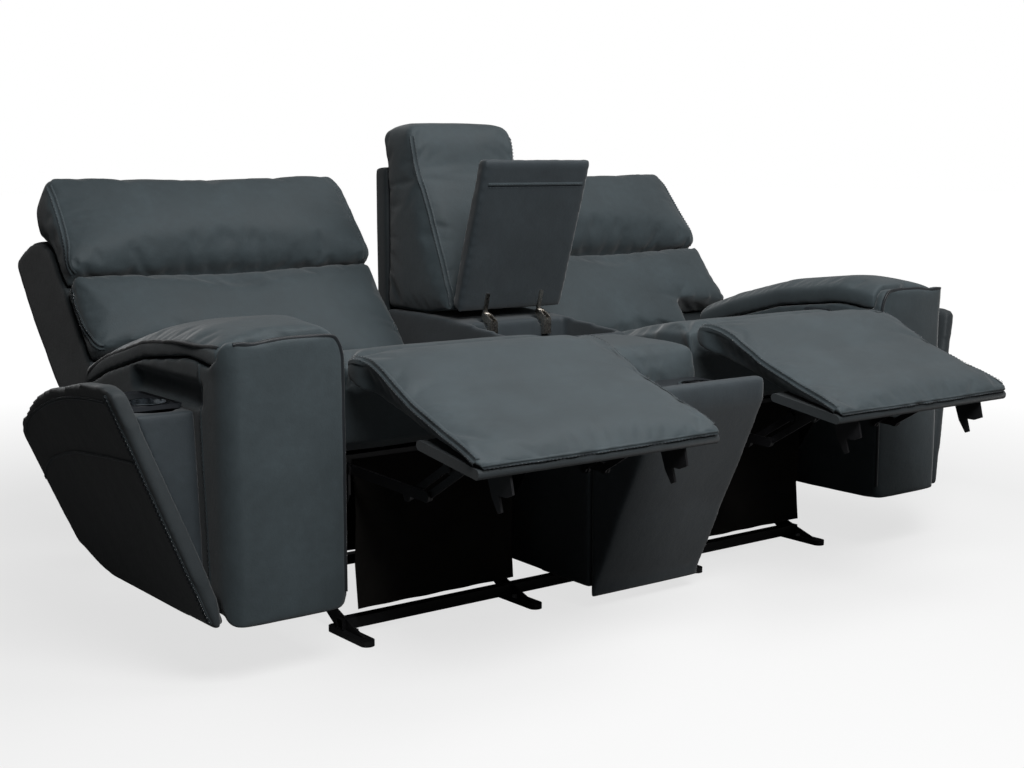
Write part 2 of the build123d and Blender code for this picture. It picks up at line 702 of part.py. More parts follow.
def front_links():
    """Bars from the drive links' ends to the board's brackets."""
    link = bar(KNEE_OUT, BOARD_PIVOT, BAR_HALF, FOOT_EYE, BASE_LANE, BASE_LANE + PLATE)
    for eye in (KNEE_OUT, BOARD_PIVOT):
        link -= rod_x(*eye, PIN_RADIUS + PIN_CLEARANCE, BASE_LANE, BASE_LANE + PLATE)
    return link


def control_links():
    """Bars parallel to the front links that keep the board at its angle."""
    link = bar(CONTROL_FOOT, CONTROL_TOP, BAR_HALF, FOOT_EYE, BASE_LANE, BASE_LANE + PLATE)
    for eye in (CONTROL_FOOT, CONTROL_TOP):
        link -= rod_x(*eye, PIN_RADIUS + PIN_CLEARANCE, BASE_LANE, BASE_LANE + PLATE)
    return link


def footrest_board():
    """The padded board with its two hooked brackets."""
    board = profile(-SEAT_HALF_WIDTH + 8, SEAT_HALF_WIDTH - 8,
                    [(-600, 446), (-604, 464), (-772, 440), (-774, 421)], [8, 0, 8, 0])
    bracket = profile(
        BRACKET_LANE, BRACKET_LANE + PLATE,
        [(-606, 452), (-584, 424), (-574, 404), (-580, 392), (-596, 390), (-616, 402),
         (-649, 400), (-664, 410), (-700, 416), (-716, 372), (-734, 346), (-744, 350),
         (-736, 378), (-756, 378), (-776, 386), (-766, 428)],
    )
    bracket += rod_x(*BOARD_PIVOT, FOOT_EYE, BRACKET_LANE, BRACKET_LANE + PLATE)
    bracket += rod_x(*CONTROL_TOP, FOOT_EYE, BRACKET_LANE, BRACKET_LANE + PLATE)
    bracket -= profile(BRACKET_LANE, BRACKET_LANE + PLATE,
                       [(-596, 449), (-604, 464), (-780, 440), (-780, 421)])
    for eye in (BOARD_PIVOT, CONTROL_TOP):
        bracket += rod_x(*eye, PIN_RADIUS, BRACKET_LANE, BASE_LANE + PLATE)
    return board + bracket + mirrored(bracket)


def chaise_pad():
    """The long pad from the seat's nose to the footrest's tip, with a hump and drawn-in sides."""
    side = [
        PAD_REAR, (-420, 592), (-505, 562), (-564, 532), (-678, 492),
        (-781, 456), (-785, 436), (-774, 442), (-600, 468), (-500, 500), (PAD_REAR[0] - 2, 545),
    ]
    pad = profile(-SEAT_HALF_WIDTH, SEAT_HALF_WIDTH, side, [5, 6, 2, 2, 4, 6, 0, 0, 0, 4, 0])
    edge, tip = SEAT_HALF_WIDTH - 2, SEAT_HALF_WIDTH - 16
    plan_points = [(-SEAT_HALF_WIDTH, -350), (SEAT_HALF_WIDTH, -350), (edge, -776), (tip, -790),
                   (-tip, -790), (-edge, -776)]
    return pad & plan(300, 700, plan_points, [0, -5, 5, 0, 5, -5])


NODES = {
    "base_side_plates": base_side_plates(),
    "base_cross_tubes": base_cross_tubes(),
    "base_bolts": base_bolts(),
    "front_swing_links": swing_links(SWING_FRONT_Y),
    "rear_swing_links": swing_links(SWING_REAR_Y),
    "mechanism_side_plates": mechanism_side_plates(),
    "carriage_rails": carriage_rails(),
    "dust_curtains": dust_curtains(),
    "console_box": console_box(),
    "console_prow": console_prow(),
    "console_tray": console_tray(),
    "console_front_pad": console_front_pad(),
    "console_back_shell": console_back_shell(),
    "console_back_cushion": console_back_cushion(),
    "lid_hinge_bodies": hinge_bodies(),
    "console_lid": console_lid(),
    "lid_hinge_arms": lid_hinge_arms(),
}

# Nodes that hold one piece at each side
seat_shift = Pos(SEAT_X, 0, 0)
springs = [seat_shift * spring for spring in seat_springs()]
NODES["seat_springs"] = group(springs + [mirrored(spring) for spring in springs])
for name, piece in {
    "arm_pod_trays": arm_pod_tray(),
    "arm_cup_holders": cup_holder(ARM_CUP_X, ARM_CUP_Y, ARM_CUP_TOP),
    "switch_plates": switch_plate(),
    "console_cup_holders": cup_holder(CONSOLE_CUP_X, CONSOLE_CUP_Y, CONSOLE_TRAY_Z),
}.items():
    NODES[name] = group([piece, mirrored(piece)])

# Nodes that each side has of its own
for name, piece in {
    "seat_frame": seat_frame(),
    "seat_cushion": seat_cushion(),
    "arm_body": arm_body(),
    "arm_pad": arm_pad(),
    "arm_pod": arm_pod(),
    "outer_shell": outer_shell(),
    "switch_button": switch_button(),
    "drive_motors": drive_motors(),
    "back_frame": back_frame(),
    "back_shell": back_shell(),
    "back_cushion": back_cushion(),
    "headrest": headrest(),
    "footrest_drive_links": group([seat_shift * drive_links(), seat_shift * mirrored(drive_links())]),
    "footrest_front_links": group([seat_shift * front_links(), seat_shift * mirrored(front_links())]),
    "footrest_control_links": group(
        [seat_shift * control_links(), seat_shift * mirrored(control_links())]),
    "footrest_board": seat_shift * footrest_board(),
    "chaise_pad": seat_shift * chaise_pad(),
}.items():
    NODES["right_" + name] = piece
    NODES["left_" + name] = mirrored(piece)

os.makedirs("parts", exist_ok=True)
for name, piece in NODES.items():
    export_step(piece, f"parts/{name}.step")

print("knee", KNEE_OUT, "control foot", CONTROL_FOOT, "control top", CONTROL_TOP)
print("board turn", PAD_FOLD, "front turn", round(FRONT_TURN, 4), "knee in", KNEE_IN)
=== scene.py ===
import json
from math import pi, radians, sin

import bmesh
import bpy
import numpy as np
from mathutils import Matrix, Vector, noise
from mathutils.bvhtree import BVHTree
from mathutils.kdtree import KDTree

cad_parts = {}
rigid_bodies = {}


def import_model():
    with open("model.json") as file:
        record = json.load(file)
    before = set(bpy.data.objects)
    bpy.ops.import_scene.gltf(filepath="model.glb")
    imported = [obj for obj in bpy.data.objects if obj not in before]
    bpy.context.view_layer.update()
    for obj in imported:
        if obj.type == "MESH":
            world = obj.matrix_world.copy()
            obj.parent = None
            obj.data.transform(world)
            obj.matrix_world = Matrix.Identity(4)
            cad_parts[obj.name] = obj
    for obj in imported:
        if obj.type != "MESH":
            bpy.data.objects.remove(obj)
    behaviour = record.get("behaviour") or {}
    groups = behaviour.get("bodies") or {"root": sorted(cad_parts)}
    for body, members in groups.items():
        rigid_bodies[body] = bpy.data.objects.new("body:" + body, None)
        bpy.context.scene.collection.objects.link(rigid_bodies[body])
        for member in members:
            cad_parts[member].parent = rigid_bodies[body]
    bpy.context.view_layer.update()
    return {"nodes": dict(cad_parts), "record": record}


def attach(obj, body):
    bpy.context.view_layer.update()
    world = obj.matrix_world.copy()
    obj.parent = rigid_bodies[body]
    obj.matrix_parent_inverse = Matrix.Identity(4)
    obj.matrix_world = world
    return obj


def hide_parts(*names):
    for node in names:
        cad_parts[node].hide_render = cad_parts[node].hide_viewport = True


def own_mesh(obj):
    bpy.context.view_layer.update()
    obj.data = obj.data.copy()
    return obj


# The dressed loveseat, in metres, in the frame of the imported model.
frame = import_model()
nodes = frame["nodes"]

SIDES = {"right": 1, "left": -1}
SEAT_X = 0.45


# Camera, fitted to the photograph: place in metres, turn in degrees, lens in millimetres
CAMERA_PLACE = (-2.182, -2.781, 0.948)
CAMERA_AZIMUTH = 37.25
CAMERA_PITCH = 8.36
CAMERA_LENS = 53.21
CAMERA_SENSOR = 36


def add_camera():
    data = bpy.data.cameras.new("camera")
    data.lens = CAMERA_LENS
    data.sensor_width = CAMERA_SENSOR
    camera = bpy.data.objects.new("camera", data)
    camera.location = CAMERA_PLACE
    camera.rotation_euler = (radians(90 - CAMERA_PITCH), 0, radians(-CAMERA_AZIMUTH))
    bpy.context.scene.collection.objects.link(camera)
    bpy.context.scene.camera = camera


# Materials
def new_material(name):
    material = bpy.data.materials.new(name)
    material.use_nodes = True
    tree = material.node_tree
    return material, tree, tree.nodes["Principled BSDF"]


def add_node(tree, kind, values=None, **settings):
    node = tree.nodes.new(kind)
    for key, value in settings.items():
        setattr(node, key, value)
    for key, value in (values or {}).items():
        node.inputs[key].default_value = value
    return node


def link(tree, out, target):
    tree.links.new(out, target)


def noise_texture(tree, coordinates, scale, detail=3.0, roughness=0.55):
    node = add_node(tree, "ShaderNodeTexNoise",
                    {"Scale": scale, "Detail": detail, "Roughness": roughness})
    link(tree, coordinates, node.inputs["Vector"])
    return node


def ramp(tree, factor, stops):
    node = add_node(tree, "ShaderNodeValToRGB")
    elements = node.color_ramp.elements
    while len(elements) < len(stops):
        elements.new(0.5)
    for element, (position, colour) in zip(elements, stops):
        element.position = position
        element.color = (*colour, 1)
    link(tree, factor, node.inputs["Fac"])
    return node


def bump(tree, height, strength, distance, normal=None):
    node = add_node(tree, "ShaderNodeBump", {"Strength": strength, "Distance": distance})
    link(tree, height, node.inputs["Height"])
    if normal:
        link(tree, normal, node.inputs["Normal"])
    return node


def shade(colour, factor):
    return tuple(c * factor for c in colour)


# Leather: how fine each of its textures is, how uneven its polish is
CLOUD_SCALE = 7.0
MOTTLE_SCALE = 60.0
PORE_SCALE = 950.0
FOLD_SCALE = 180.0
CREASE_SCALE = 22.0
POLISH_SPREAD = 0.06
LEATHER_ROUGHNESS = 0.68
LEATHER_SPECULAR = 0.24


def leather(name, colour, roughness=LEATHER_ROUGHNESS, sheen=0.2):
    """Matte full-grain leather: cell-like pores, faint creases and cloudy pull-up."""
    material, tree, surface = new_material(name)
    place = add_node(tree, "ShaderNodeTexCoord").outputs["Object"]
    clouds = noise_texture(tree, place, CLOUD_SCALE, 4.0)
    mottle = noise_texture(tree, place, MOTTLE_SCALE, 3.0)
    mixed = add_node(tree, "ShaderNodeMix", {"Factor": 0.35}, data_type="FLOAT")
    link(tree, clouds.outputs["Fac"], mixed.inputs["A"])
    link(tree, mottle.outputs["Fac"], mixed.inputs["B"])
    tint = ramp(tree, mixed.outputs["Result"],
                [(0.3, shade(colour, 0.8)), (0.52, colour), (0.75, shade(colour, 1.3))])
    link(tree, tint.outputs["Color"], surface.inputs["Base Color"])
    pores = add_node(tree, "ShaderNodeTexVoronoi", {"Scale": PORE_SCALE},
                     feature="DISTANCE_TO_EDGE")
    link(tree, place, pores.inputs["Vector"])
    folds = noise_texture(tree, place, FOLD_SCALE, 4.0)
    creases = noise_texture(tree, place, CREASE_SCALE, 5.0, 0.65)
    grain = bump(tree, pores.outputs["Distance"], 0.25, 0.0005)
    fine = bump(tree, folds.outputs["Fac"], 0.22, 0.001, grain.outputs["Normal"])
    broad = bump(tree, creases.outputs["Fac"], 0.25, 0.004, fine.outputs["Normal"])
    link(tree, broad.outputs["Normal"], surface.inputs["Normal"])
    polish = ramp(tree, mixed.outputs["Result"], [(0.3, (roughness - POLISH_SPREAD,) * 3),
                                                  (0.7, (roughness + POLISH_SPREAD,) * 3)])
    link(tree, polish.outputs["Color"], surface.inputs["Roughness"])
    surface.inputs["Sheen Weight"].default_value = sheen
    surface.inputs["Sheen Roughness"].default_value = 0.45
    surface.inputs["Specular IOR Level"].default_value = LEATHER_SPECULAR
    return material


def metal(name, colour, roughness, metallic=1.0, scratch=120.0, wear=0.12):
    """A metal with fine scratches and uneven polish."""
    material, tree, surface = new_material(name)
    place = add_node(tree, "ShaderNodeTexCoord").outputs["Object"]
    marks = noise_texture(tree, place, scratch, 6.0, 0.7)
    tint = ramp(tree, marks.outputs["Fac"],
                [(0.3, shade(colour, 0.82)), (0.55, colour), (0.8, shade(colour, 1.12))])
    link(tree, tint.outputs["Color"], surface.inputs["Base Color"])
    polish = ramp(tree, marks.outputs["Fac"],
                  [(0.3, (roughness,) * 3), (0.75, (roughness + wear,) * 3)])
    link(tree, polish.outputs["Color"], surface.inputs["Roughness"])
    dents = bump(tree, marks.outputs["Fac"], 0.12, 0.0006)
    link(tree, dents.outputs["Normal"], surface.inputs["Normal"])
    surface.inputs["Metallic"].default_value = metallic
    return material


def moulded(name, colour, roughness):
    """Plastic with a fine spark-eroded texture."""
    material, tree, surface = new_material(name)
    place = add_node(tree, "ShaderNodeTexCoord").outputs["Object"]
    texture = noise_texture(tree, place, 900.0, 2.0)
    clouds = noise_texture(tree, place, 15.0, 3.0)
    tint = ramp(tree, clouds.outputs["Fac"],
                [(0.3, shade(colour, 0.85)), (0.7, shade(colour, 1.1))])
    link(tree, tint.outputs["Color"], surface.inputs["Base Color"])
    grain = bump(tree, texture.outputs["Fac"], 0.18, 0.0004)
    link(tree, grain.outputs["Normal"], surface.inputs["Normal"])
    surface.inputs["Roughness"].default_value = roughness
    return material


def woven(name, colour, pitch):
    """Plain-woven dust cloth."""
    material, tree, surface = new_material(name)
    place = add_node(tree, "ShaderNodeTexCoord").outputs["Object"]
    threads = []
    for direction in ("X", "Z"):
        wave = add_node(tree, "ShaderNodeTexWave", {"Scale": pitch, "Distortion": 0.6},
                        bands_direction=direction)
        link(tree, place, wave.inputs["Vector"])
        threads.append(wave.outputs["Fac"])
    weave = add_node(tree, "ShaderNodeMath", operation="MULTIPLY")
    link(tree, threads[0], weave.inputs[0])
    link(tree, threads[1], weave.inputs[1])
    clouds = noise_texture(tree, place, 9.0, 4.0)
    tint = ramp(tree, clouds.outputs["Fac"],
                [(0.3, shade(colour, 0.7)), (0.7, shade(colour, 1.25))])
    link(tree, tint.outputs["Color"], surface.inputs["Base Color"])
    relief = bump(tree, weave.outputs[0], 0.5, 0.0008)
    link(tree, relief.outputs["Normal"], surface.inputs["Normal"])
    surface.inputs["Roughness"].default_value = 0.95
    surface.inputs["Specular IOR Level"].default_value = 0.15
    return material


LEATHER = leather("leather", (0.0245, 0.0340, 0.0385))
# The case leather is the seats' own leather made darker: the darkness is painted shade on the lid,
# prow, pod and console box
LEATHER_CASE_PAINTED_SHADE = leather("leather_case", (0.0190, 0.0255, 0.0300))
# The shell leather is the same leather made darker still: the darkness is painted shade on the
# outer shells, back shells and footrest boards, which face away from the lamps
LEATHER_SHELL_PAINTED_SHADE = leather("leather_shell", (0.0150, 0.0195, 0.0220))
THREAD = leather("thread", (0.012, 0.018, 0.024), 0.7, 0.4)
PIPING = leather("piping", (0.007, 0.009, 0.011), 0.45)
BLACK_PAINT = metal("black_paint", (0.008, 0.008, 0.009), 0.32, 0.0)
TUBE_PAINT = metal("tube_steel", (0.012, 0.012, 0.013), 0.45, 0.0)
ZINC = metal("zinc_steel", (0.42, 0.42, 0.44), 0.35)
SPRING = metal("spring_steel", (0.25, 0.25, 0.26), 0.35)
NICKEL = metal("nickel", (0.5, 0.47, 0.43), 0.22)
CHROME = metal("cup_chrome", (0.75, 0.76, 0.78), 0.08, 1.0, 60.0, 0.05)
PLATE = metal("plate_metal", (0.3, 0.31, 0.33), 0.25)
TRAY = moulded("tray_plastic", (0.014, 0.016, 0.019), 0.35)
MOTOR = moulded("motor_plastic", (0.01, 0.01, 0.01), 0.6)
BUTTON = moulded("button_plastic", (0.015, 0.015, 0.016), 0.25)
# The dust cloth is black, and its colour is pressed darker still: partly its own black, partly
# painted shade under the seats
DUST_CLOTH_AND_PAINTED_SHADE = woven("dust_cloth", (0.008, 0.0072, 0.0062), 420.0)

# The material of each slot of the imported record. The case and shell leathers are made darker as
# painted shade, and the black dust cloth darker still, partly as painted shade.
SLOT_MATERIAL = {
    "black_paint": BLACK_PAINT, "zinc_steel": ZINC, "nickel": NICKEL, "cup_chrome": CHROME,
    "spring_steel": SPRING, "tube_steel": TUBE_PAINT, "motor_plastic": MOTOR,
    "tray_plastic": TRAY, "button_plastic": BUTTON, "plate_metal": PLATE,
    "dust_cloth": DUST_CLOTH_AND_PAINTED_SHADE, "leather": LEATHER, "leather_shell": LEATHER_SHELL_PAINTED_SHADE,
    "leather_case": LEATHER_CASE_PAINTED_SHADE,
}


def dress_cad_nodes():
    """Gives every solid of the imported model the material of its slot."""
    for entry in frame["record"]["subparts"]:
        obj = nodes[entry["node"]]
        obj.data.materials.clear()
        obj.data.materials.append(SLOT_MATERIAL[entry["material_slot"]])


# Setting: a pale floor that glows white far out, and two soft lamps
FLOOR_REACH = 40.0
FLOOR_GREY = 0.13
FLOOR_GLOW = 0.72
GLOW_NEAR = 1.6
GLOW_FAR = 3.4
AMBIENT = 0.03

# Each lamp's name, place, target, size in metres and power in watts
LAMPS = (
    ("key", (-0.9, -2.3, 2.6), (-0.1, -0.2, 0.4), (1.8, 1.2), 135),
    ("overhead", (1.0, -0.9, 3.1), (0.4, -0.1, 0.4), (2.4, 1.4), 70),
)


def area_light(name, place, target, size, power):
    data = bpy.data.lights.new(name, "AREA")
    data.shape = "RECTANGLE"
    data.size, data.size_y = size
    data.energy = power
    lamp = bpy.data.objects.new(name, data)
    lamp.location = place
    direction = Vector(target) - Vector(place)
    lamp.rotation_euler = direction.to_track_quat("-Z", "Y").to_euler()
    bpy.context.scene.collection.objects.link(lamp)


def add_floor():
    mesh = bpy.data.meshes.new("floor")
    corners = [(x * FLOOR_REACH, y * FLOOR_REACH, 0)
               for x, y in ((-1, -1), (1, -1), (1, 1), (-1, 1))]
    mesh.from_pydata(corners, [], [(0, 1, 2, 3)])
    floor = bpy.data.objects.new("floor", mesh)
    bpy.context.scene.collection.objects.link(floor)
    material, tree, surface = new_material("floor")
    surface.inputs["Base Color"].default_value = (FLOOR_GREY,) * 3 + (1,)
    surface.inputs["Roughness"].default_value = 0.8
    surface.inputs["Specular IOR Level"].default_value = 0.1
    surface.inputs["Emission Color"].default_value = (1, 1, 1, 1)
    path = add_node(tree, "ShaderNodeLightPath")
    place = add_node(tree, "ShaderNodeTexCoord").outputs["Object"]
    radius = add_node(tree, "ShaderNodeVectorMath", operation="LENGTH")
    link(tree, place, radius.inputs[0])
    glow = add_node(tree, "ShaderNodeMapRange", {"From Min": GLOW_NEAR, "From Max": GLOW_FAR,
                                                 "To Min": FLOOR_GLOW, "To Max": 1.0})
    link(tree, radius.outputs["Value"], glow.inputs["Value"])
    seen = add_node(tree, "ShaderNodeMath", operation="MULTIPLY")
    link(tree, glow.outputs["Result"], seen.inputs[0])
    link(tree, path.outputs["Is Camera Ray"], seen.inputs[1])
    link(tree, seen.outputs[0], surface.inputs["Emission Strength"])
    mesh.materials.append(material)


def add_surroundings():
    """White to the camera, and a faint light on the object."""
    world = bpy.data.worlds.new("world")
    world.use_nodes = True
    bpy.context.scene.world = world
    tree = world.node_tree
    background = tree.nodes["Background"]
    background.inputs["Color"].default_value = (1, 1, 1, 1)
    path = add_node(tree, "ShaderNodeLightPath")
    strength = add_node(tree, "ShaderNodeMix", {"A": AMBIENT, "B": 1.0}, data_type="FLOAT")
    link(tree, path.outputs["Is Camera Ray"], strength.inputs["Factor"])
    link(tree, strength.outputs["Result"], background.inputs["Strength"])


def add_setting():
    add_floor()
    add_surroundings()
    for lamp in LAMPS:
        area_light(*lamp)


# Soft goods: each cover is remeshed, blown up as cloth and set with seams
VOXEL = 0.008
CASE_VOXEL = 0.007
SHELL_VOXEL = 0.0055
SIM_FRAMES = 20
SIM_PRESSURE = 4.0
CLOTH_STIFFNESS = 15.0

# Seams in section: how far beside the line, and how far out of the cover
SEAM_DOUBLE = [(-0.0095, -0.0020), (-0.0078, 0.0006), (-0.0052, 0.0019), (-0.0024, 0.0013),
               (-0.0008, -0.0012), (0.0008, -0.0012), (0.0024, 0.0013), (0.0052, 0.0019),
               (0.0078, 0.0006), (0.0095, -0.0020)]
SEAM_NARROW = [(-0.0050, -0.0016), (-0.0034, 0.0006), (-0.0010, 0.0010), (0.0, -0.0010),
               (0.0010, 0.0010), (0.0040, 0.0008), (0.0056, -0.0016)]
SEAM_WELT = [(-0.0050, -0.0020), (-0.0036, 0.0012), (-0.0018, 0.0030), (0.0, 0.0036),
             (0.0018, 0.0030), (0.0036, 0.0012), (0.0050, -0.0020)]
SEAM_LAPPED = [(-0.0090, -0.0015), (-0.0070, 0.0006), (-0.0035, 0.0014), (-0.0008, 0.0018),
               (0.0, -0.0015)]
SEAM_STEP = 0.006
SEAM_FOLLOWS = (-0.006, 0.004)
STITCH_PITCH = 0.0085
STITCH_LENGTH = 0.0058
STITCH_RADIUS = 0.0007
STITCH_LINE_STEP = 0.003
# A stitch along its length: place from end to end, thickness, and height out of the cover
STITCH_SHAPE = ((0, 0.4, -0.0004), (0.25, 1, 0.0004), (0.75, 1, 0.0004), (1, 0.4, -0.0004))


def coordinates(mesh):
    flat = np.empty(len(mesh.vertices) * 3)
    mesh.vertices.foreach_get("co", flat)
    return flat.reshape(-1, 3)


def set_coordinates(mesh, points):
    mesh.vertices.foreach_set("co", np.ascontiguousarray(points).ravel())
    mesh.update()


def vertex_normals(mesh):
    flat = np.empty(len(mesh.vertices) * 3)
    mesh.vertex_normals.foreach_get("vector", flat)
    return flat.reshape(-1, 3)


def mesh_edges(mesh):
    flat = np.empty(len(mesh.edges) * 2, dtype=np.int32)
    mesh.edges.foreach_get("vertices", flat)
    return flat.reshape(-1, 2)


def new_object(name, mesh):
    obj = bpy.data.objects.new(name, mesh)
    bpy.context.scene.collection.objects.link(obj)
    return obj


def made_real(obj):
    """Applies the object's modifiers to its mesh."""
    depsgraph = bpy.context.evaluated_depsgraph_get()
    mesh = bpy.data.meshes.new_from_object(obj.evaluated_get(depsgraph))
    obj.modifiers.clear()
    obj.data = mesh


def relaxed(points, edges, passes):
    """Each point moves half way to the mean of its neighbours, which rounds the edges."""
    count = np.bincount(edges.ravel(), minlength=len(points))
    for _ in range(passes):
        total = np.empty_like(points)
        for axis in range(3):
            ahead = np.bincount(edges[:, 0], points[edges[:, 1], axis], len(points))
            back = np.bincount(edges[:, 1], points[edges[:, 0], axis], len(points))
            total[:, axis] = ahead + back
        points = points + 0.5 * (total / count[:, None] - points)
    return points


def line_distance(points, path):
    """Distance of each point from a run of straight stretches."""
    best = np.full(len(points), np.inf)
    for a, b in zip(path[:-1], path[1:]):
        a, b = np.array(a), np.array(b)
        along = np.clip((points - a) @ (b - a) / ((b - a) @ (b - a)), 0, 1)
        apart = np.linalg.norm(points - a - along[:, None] * (b - a), axis=1)
        best = np.minimum(best, apart)
    return best


def undulation(points, wave, seed):
    """Slow unevenness of stuffed leather, from minus one to one."""
    phase = np.array([3.1 * seed, 1.7 * seed, 0.9 * seed])
    return np.array([noise.noise(Vector(p)) for p in points / wave + phase])


class SoftPiece:
    """One upholstered piece, grown from the solid that it stands for."""

    def __init__(self, node, rounding, inset, voxel=VOXEL):
        self.node = node
        self.obj = new_object("soft_" + node, nodes[node].data.copy())
        remesh = self.obj.modifiers.new("remesh", "REMESH")
        remesh.mode = "VOXEL"
        remesh.voxel_size = voxel
        made_real(self.obj)
        mesh = self.obj.data
        points = relaxed(coordinates(mesh), mesh_edges(mesh), rounding)
        set_coordinates(mesh, points)
        set_coordinates(mesh, points - inset * vertex_normals(mesh))
        self.start = coordinates(mesh)

    def inflate(self, cap, pins, shrink):
        """Sets up the cloth; run_simulation() blows all the pieces up together."""
        self.cap = cap
        cloth = self.obj.modifiers.new("cloth", "CLOTH")
        settings = cloth.settings
        settings.quality = 5
        settings.mass = 0.3
        settings.tension_stiffness = CLOTH_STIFFNESS
        settings.compression_stiffness = CLOTH_STIFFNESS
        settings.shear_stiffness = 5
        settings.bending_stiffness = 2.0
        settings.use_pressure = True
        settings.uniform_pressure_force = SIM_PRESSURE
        settings.shrink_min = shrink
        settings.effector_weights.gravity = 0
        cloth.point_cache.frame_start = 1
        cloth.point_cache.frame_end = SIM_FRAMES
        group = self.obj.vertex_groups.new(name="pins")
        for index in np.flatnonzero(pins(self.start, vertex_normals(self.obj.data))):
            group.add([int(index)], 1.0, "REPLACE")
        settings.vertex_group_mass = "pins"
        inflating.append(self)

    def settle(self):
        """Keeps the blown-up form, with no point further out than the cap."""
        made_real(self.obj)
        moved = coordinates(self.obj.data) - self.start
        length = np.linalg.norm(moved, axis=1)
        held = self.cap * np.tanh(length / self.cap)
        scale = np.minimum(1.0, held / np.maximum(length, 1e-9))
        set_coordinates(self.obj.data, self.start + moved * scale[:, None])

    def shape(self, change):
        """Moves each point along its normal by change(points), in metres."""
        mesh = self.obj.data
        points = coordinates(mesh)
        set_coordinates(mesh, points + change(points)[:, None] * vertex_normals(mesh))

    def draw(self, pull):
        """Puts each point where pull(points) says."""
        set_coordinates(self.obj.data, pull(coordinates(self.obj.data)))

    def finish(self, material, fill=None):
        """Subdivides the piece once and puts it in its solid's place."""
        divide = self.obj.modifiers.new("divide", "SUBSURF")
        divide.levels = 1
        made_real(self.obj)
        mesh = self.obj.data
        mesh.materials.clear()
        mesh.materials.append(material)
        mesh.polygons.foreach_set("use_smooth", [True] * len(mesh.polygons))
        dress(self.obj, self.node)

    def mirrored(self):
        """The same piece on the other side, with its own unevenness."""
        mesh = self.obj.data.copy()
        set_coordinates(mesh, coordinates(mesh) * (-1, 1, 1))
        mesh.flip_normals()
        twin = SoftPiece.__new__(SoftPiece)
        twin.node = self.node.replace("right", "left")
        twin.obj = new_object("soft_" + twin.node, mesh)
        return twin


def body_of(node):
    return nodes[node].parent.name.split(":")[1]


def dress(obj, node):
    """Puts a piece in the place of the solid that it stands for, on the same body."""
    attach(obj, body_of(node))
    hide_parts(node)


inflating = []


def run_simulation():
    scene = bpy.context.scene
    scene.frame_start, scene.frame_end = 1, SIM_FRAMES
    for step in range(1, SIM_FRAMES + 1):
        scene.frame_set(step)
    for piece in inflating:
        piece.settle()
    scene.frame_set(1)


def resampled(path, pitch):
    """Evenly spaced points on a smooth curve through the given points."""
    points = np.array(path, dtype=float)
    steps = np.linalg.norm(np.diff(points, axis=0), axis=1)
    place = np.concatenate([[0], np.cumsum(steps)])
    count = max(2, int(round(place[-1] / pitch)) + 1)
    wanted = np.linspace(0, place[-1], count)
    smooth = np.empty((count, 3))
    slopes = np.gradient(points, place, axis=0)
    for i, w in enumerate(wanted):
        k = min(np.searchsorted(place, w, side="right") - 1, len(place) - 2)
        h = place[k + 1] - place[k]
        t = (w - place[k]) / h
        smooth[i] = ((2 * t**3 - 3 * t**2 + 1) * points[k] + (t**3 - 2 * t**2 + t) * h * slopes[k]
                     + (3 * t**2 - 2 * t**3) * points[k + 1] + (t**3 - t**2) * h * slopes[k + 1])
    return smooth


def surface_tree(obj):
    return BVHTree.FromPolygons([v.co for v in obj.data.vertices],
                                [p.vertices[:] for p in obj.data.polygons])


def smoothed_rows(rows, passes):
    for _ in range(passes):
        inner = (rows[:-2] + 2 * rows[1:-1] + rows[2:]) / 4
        rows = np.concatenate([rows[:1], inner, rows[-1:]])
    return rows


def sewn_seam(name, host, path, profile, body, material, rows):
    """A seam laid on the host's surface along a path, with rows of stitches beside its line."""
    tree = surface_tree(host)
    centre = resampled(path, SEAM_STEP)
    normals = []
    for index, point in enumerate(centre):
        place, normal, _, _ = tree.find_nearest(Vector(point))
        centre[index] = place
        normals.append(normal)
    normals = smoothed_rows(np.array(normals), 6)
    normals /= np.linalg.norm(normals, axis=1)[:, None]
    centre = smoothed_rows(centre, 3)
    tangents = np.gradient(centre, axis=0)
    tangents /= np.linalg.norm(tangents, axis=1)[:, None]
    sideways = np.cross(tangents, normals)
    vertices, faces = [], []
    width = len(profile)
    for row in range(len(centre)):
        for offset, height in profile:
            guess = centre[row] + offset * sideways[row]
            place, _, _, _ = tree.find_nearest(Vector(guess))
            lift = (np.array(place) - guess) @ normals[row]
            vertices.append(guess + (np.clip(lift, *SEAM_FOLLOWS) + height) * normals[row])
    for row in range(len(centre) - 1):
        for column in range(width - 1):
            a = row * width + column
            faces.append((a, a + width, a + width + 1, a + 1))
    mesh = bpy.data.meshes.new(name)
    mesh.from_pydata([tuple(v) for v in vertices], [], faces)
    mesh.materials.append(material)
    mesh.materials.append(THREAD)
    mesh.polygons.foreach_set("use_smooth", [True] * len(mesh.polygons))
    builder = bmesh.new()
    builder.from_mesh(mesh)
    for offset, height in rows:
        line = centre + offset * sideways + height * normals
        add_stitches(builder, resampled(line, STITCH_LINE_STEP), normals, centre)
    builder.to_mesh(mesh)
    builder.free()
    obj = new_object(name, mesh)
    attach(obj, body)
    return obj


